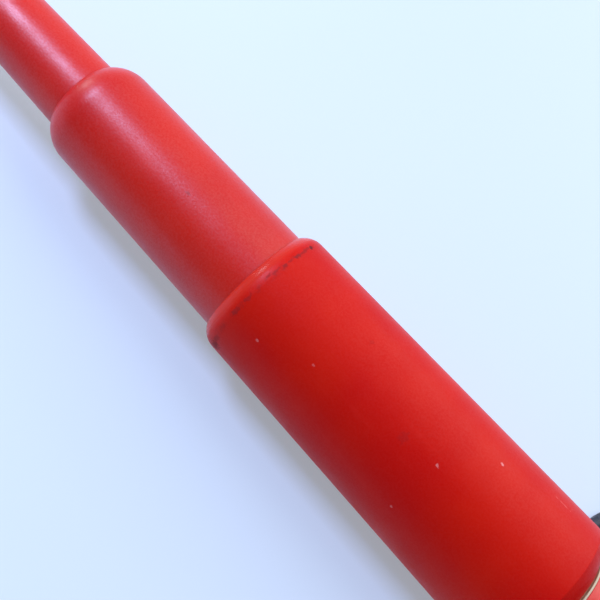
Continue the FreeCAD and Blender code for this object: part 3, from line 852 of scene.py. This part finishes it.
def make_dome(material):
    """The rubber dome that lifts the button, on a mesh of its own."""
    outline = softened(
        [
            (0.0, 2.6),
            (0.0, 3.9, 0.2),
            (0.6, 3.9, 0.3),
            (2.4, 2.2, 0.5),
            (3.7, 2.2, 0.3),
            (3.7, 0.0),
        ],
        closed=False,
    )
    outline += softened(
        [(2.8, 0.0), (2.8, 1.5, 0.2), (2.1, 1.5, 0.4), (0.9, 2.6, 0.3), (0.0, 2.6)],
        closed=False,
    )
    foot = row(SWITCH_AT, 0, 7.45)
    mesh = round_piece("dome", foot, UP, outline, STEPS_SWITCH)
    piece = add_piece("dome", mesh, material, "handle", ["return_dome"])
    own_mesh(piece)


# ------------------------------------------------------------------ lanyard
CORD_D = 4.0 * MM
CORD_SIDES = 36
STRANDS = 8                       # of the braid, each way round
BRAID_PITCH = 9.0 * MM            # along the cord for one turn of a strand
BRAID_DEPTH = 0.045               # of the relief, as a share of the cord's radius
RING_EVERY = 0.33 * MM
ANCHOR = (240.0, 21.2, 17.2)      # where the boot stands on the guard's side
BOOT_LENGTH = 10.2

# The lanyard's middle line, in stations, with Z above the surface: out of the guard, down,
# through the lock, along the handle, round the bend beside the lamp head and back to the lock.
LANYARD_ROUTE = [
    (240.0, 31.35, 17.15),
    (239.6, 41.4, 15.6),
    (234.6, 50.2, 10.0),
    (225.0, 55.4, 4.9),
    (211.0, 56.8, 2.7),
    (197.0, 56.4, 2.7),
    (180.5, 50.6, 2.05),
    (162.0, 40.4, 2.05),
    (147.4, 26.4, 2.05),
    (135.4, 19.0, 2.05),
    (125.2, 16.8, 2.05),
    (116.0, 21.7, 2.05),
    (111.8, 31.2, 2.05),
    (114.3, 41.3, 2.05),
    (123.5, 50.5, 2.05),
    (140.0, 59.4, 2.05),
    (160.0, 65.0, 2.05),
    (180.0, 64.6, 2.05),
    (198.0, 61.9, 2.7),
]


def on_floor(point):
    """A route point, whose Z is above the surface, in metres."""
    return Vector((ORIGIN_X + point[0] * MM, point[1] * MM, point[2] * MM))


def route_line(route):
    """Points along the smooth NURBS line through a route."""
    curve = bpy.data.curves.new("route", "CURVE")
    curve.dimensions = "3D"
    curve.resolution_u = 40
    spline = curve.splines.new("NURBS")
    spline.points.add(len(route) - 1)
    for point, place in zip(spline.points, route):
        point.co = (*on_floor(place), 1)
    spline.order_u = 3
    spline.use_endpoint_u = True
    bare = bpy.data.objects.new("route", curve)
    mesh = bpy.data.meshes.new_from_object(bare)
    line = [v.co.copy() for v in mesh.vertices]
    bpy.data.objects.remove(bare)
    bpy.data.meshes.remove(mesh)
    bpy.data.curves.remove(curve)
    return line


def spaced(line, step):
    """Points a step apart along a line, and its length."""
    lengths = [0.0]
    for a, b in zip(line, line[1:]):
        lengths.append(lengths[-1] + (b - a).length)
    total = lengths[-1]
    count = int(total / step)
    made = []
    index = 0
    for number in range(count + 1):
        at = total * number / count
        while index < len(line) - 2 and lengths[index + 1] < at:
            index += 1
        share = (at - lengths[index]) / max(lengths[index + 1] - lengths[index], 1e-12)
        made.append(line[index].lerp(line[index + 1], share))
    return made, total


def make_cord(material):
    """A braided tube along the route, its strands modelled in the surface."""
    line, total = spaced(route_line(LANYARD_ROUTE), RING_EVERY)
    vertices = []
    side = Vector(UP)
    travelled = 0.0
    for index, place in enumerate(line):
        ahead = line[min(index + 1, len(line) - 1)] - line[max(index - 1, 0)]
        ahead.normalize()
        side = (side - ahead * side.dot(ahead)).normalized()
        across = ahead.cross(side)
        turn = 2 * math.pi * travelled / BRAID_PITCH
        for number in range(CORD_SIDES):
            angle = 2 * math.pi * number / CORD_SIDES
            one = math.cos(STRANDS * (angle + turn / 2))
            two = math.cos(STRANDS * (angle - turn / 2))
            relief = 1 - BRAID_DEPTH + BRAID_DEPTH * max(one, two)
            outwards = side * math.cos(angle) + across * math.sin(angle)
            vertices.append(place + outwards * CORD_D / 2 * relief)
        travelled += total / (len(line) - 1)
    faces = quads(len(line), CORD_SIDES)
    faces.append(tuple(range(CORD_SIDES)))
    faces.append(tuple(range((len(line) - 1) * CORD_SIDES, len(line) * CORD_SIDES))[::-1])
    mesh = mesh_from("lanyard_cord", vertices, faces)
    piece = add_piece("lanyard_cord", mesh, material, "handle", ["lanyard"])
    path = [tuple(p) for p in spaced(line, 1.0 * MM)[0]]


def make_lanyard(braid, hard):
    """The tapered boot with four grooves, the sliding lock, and the cord."""
    groove = [(0.0, 0.0), (0.25, 0.38), (0.75, 0.38), (1.0, 0.05)]
    outline = [(0, 0), (0, 3.4), (0.6, 3.4), (1.0, 3.2)]
    for index in range(4):
        start = 1.6 + 1.9 * index
        radius = 3.15 - 0.17 * index
        outline += [(start + along, radius - drop) for along, drop in groove]
    outline += [(9.5, 2.5), (BOOT_LENGTH, 2.3), (BOOT_LENGTH, 0)]
    mesh = round_piece("anchor_boot", on_floor(ANCHOR), (0, 1, 0), outline, 72)
    anchor = add_piece("anchor_boot", mesh, hard, "handle", ["lanyard_anchor"])
    low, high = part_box("lanyard_lock")
    mesh = rounded_box("lock_slider", low, high, 2.0 * MM, 6)
    lock = add_piece("lock_slider", mesh, hard, "handle", ["lanyard_lock"])
    make_cord(braid)


# ------------------------------------------------------------------ build
FLOOR_HALF = 6.0


def make_floor():
    mesh = bpy.data.meshes.new("floor")
    corners = [(-1, -1), (1, -1), (1, 1), (-1, 1)]
    mesh.from_pydata([(x * FLOOR_HALF, y * FLOOR_HALF, 0) for x, y in corners], [], [(0, 1, 2, 3)])
    mesh.materials.append(floor_material())
    floor = bpy.data.objects.new("floor", mesh)
    scene.collection.objects.link(floor)


def dress(names, material):
    """Give carried-over CAD nodes a material."""
    for name in names:
        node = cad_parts[name]
        node.data.materials.clear()
        node.data.materials.append(material)


scene.view_settings.view_transform = "Standard"
make_camera()

outer_red = red_tube("outer_tube_red", 20.0, SCUFFS, SPECKS, lip_dirt_gloss_and_painted_glow=True, shine=0.13)
mid_red = red_tube("mid_tube_red", 15.0, MID_SCUFFS, fade=0.008, shine=0.47, matt=0.36)
tip_red = red_tube("tip_tube_red", 10.0, fade=0.03, matt=0.39)
shell_red = plastic("handle_red", (0.56, 0.008, 0.005), (0.68, 0.014, 0.009), 0.38)
rubber = plastic("black_rubber", (0.012, 0.012, 0.014), (0.022, 0.022, 0.025), 0.62, 0.25, 1500)
black = plastic("black_plastic", (0.010, 0.010, 0.012), (0.020, 0.020, 0.023), 0.42, 0.15, 1200)
cream = plastic("cream_seal", (0.55, 0.44, 0.29), (0.66, 0.54, 0.38), 0.6)
nylon = plastic("nylon", (0.66, 0.65, 0.60), (0.76, 0.75, 0.70), 0.4, subsurface_weight=0.1)
white = plastic("white_plastic", (0.70, 0.70, 0.68), (0.82, 0.82, 0.80), 0.25)
led = plastic(
    "led_epoxy", (0.50, 0.010, 0.008), (0.62, 0.02, 0.015), 0.12, 0.02, transmission_weight=0.4
)
steel = metal("steel", (0.50, 0.50, 0.51), (0.60, 0.60, 0.61), 0.3)
brass = metal("brass", (0.55, 0.37, 0.12), (0.74, 0.53, 0.22), 0.28)
wire_red = plastic("wire_red", (0.42, 0.01, 0.008), (0.55, 0.015, 0.012), 0.4)
wire_black = plastic("wire_black", (0.010, 0.010, 0.011), (0.02, 0.02, 0.022), 0.4)

make_lanyard(cord_material(), black)
make_outer_tube(outer_red)
make_mid_tube(mid_red)
make_tip_tube(tip_red)
make_seal(cream)
make_collar(shell_red)
make_barrel(shell_red)
make_grip(rubber)
make_guard(rubber)
make_cap(black, steel)
make_switch(rubber, black)
make_dome(rubber)

dress(["mid_stop_ring", "tip_stop_ring"], nylon)
dress(["lens"], lens_material())
dress(["lens_gasket", "cap_seal"], rubber)
dress(["lamp_cup", "lamp_nut", "contact_carrier", "tact_switch"], black)
dress(["reflector", "led_carrier"], white)
dress(["led_board", "switch_board"], board_material())
dress(["leds"], led)
dress(["board_screws", "collar_screws", "tail_spring"], steel)
dress(["front_contact", "contact_strip"], brass)
dress(["cell_front", "cell_rear"], cell_material())
dress(["wire_positive"], wire_red)
dress(["wire_negative"], wire_black)

make_floor()
for light in LIGHTS:
    area_light(*light)
make_room()
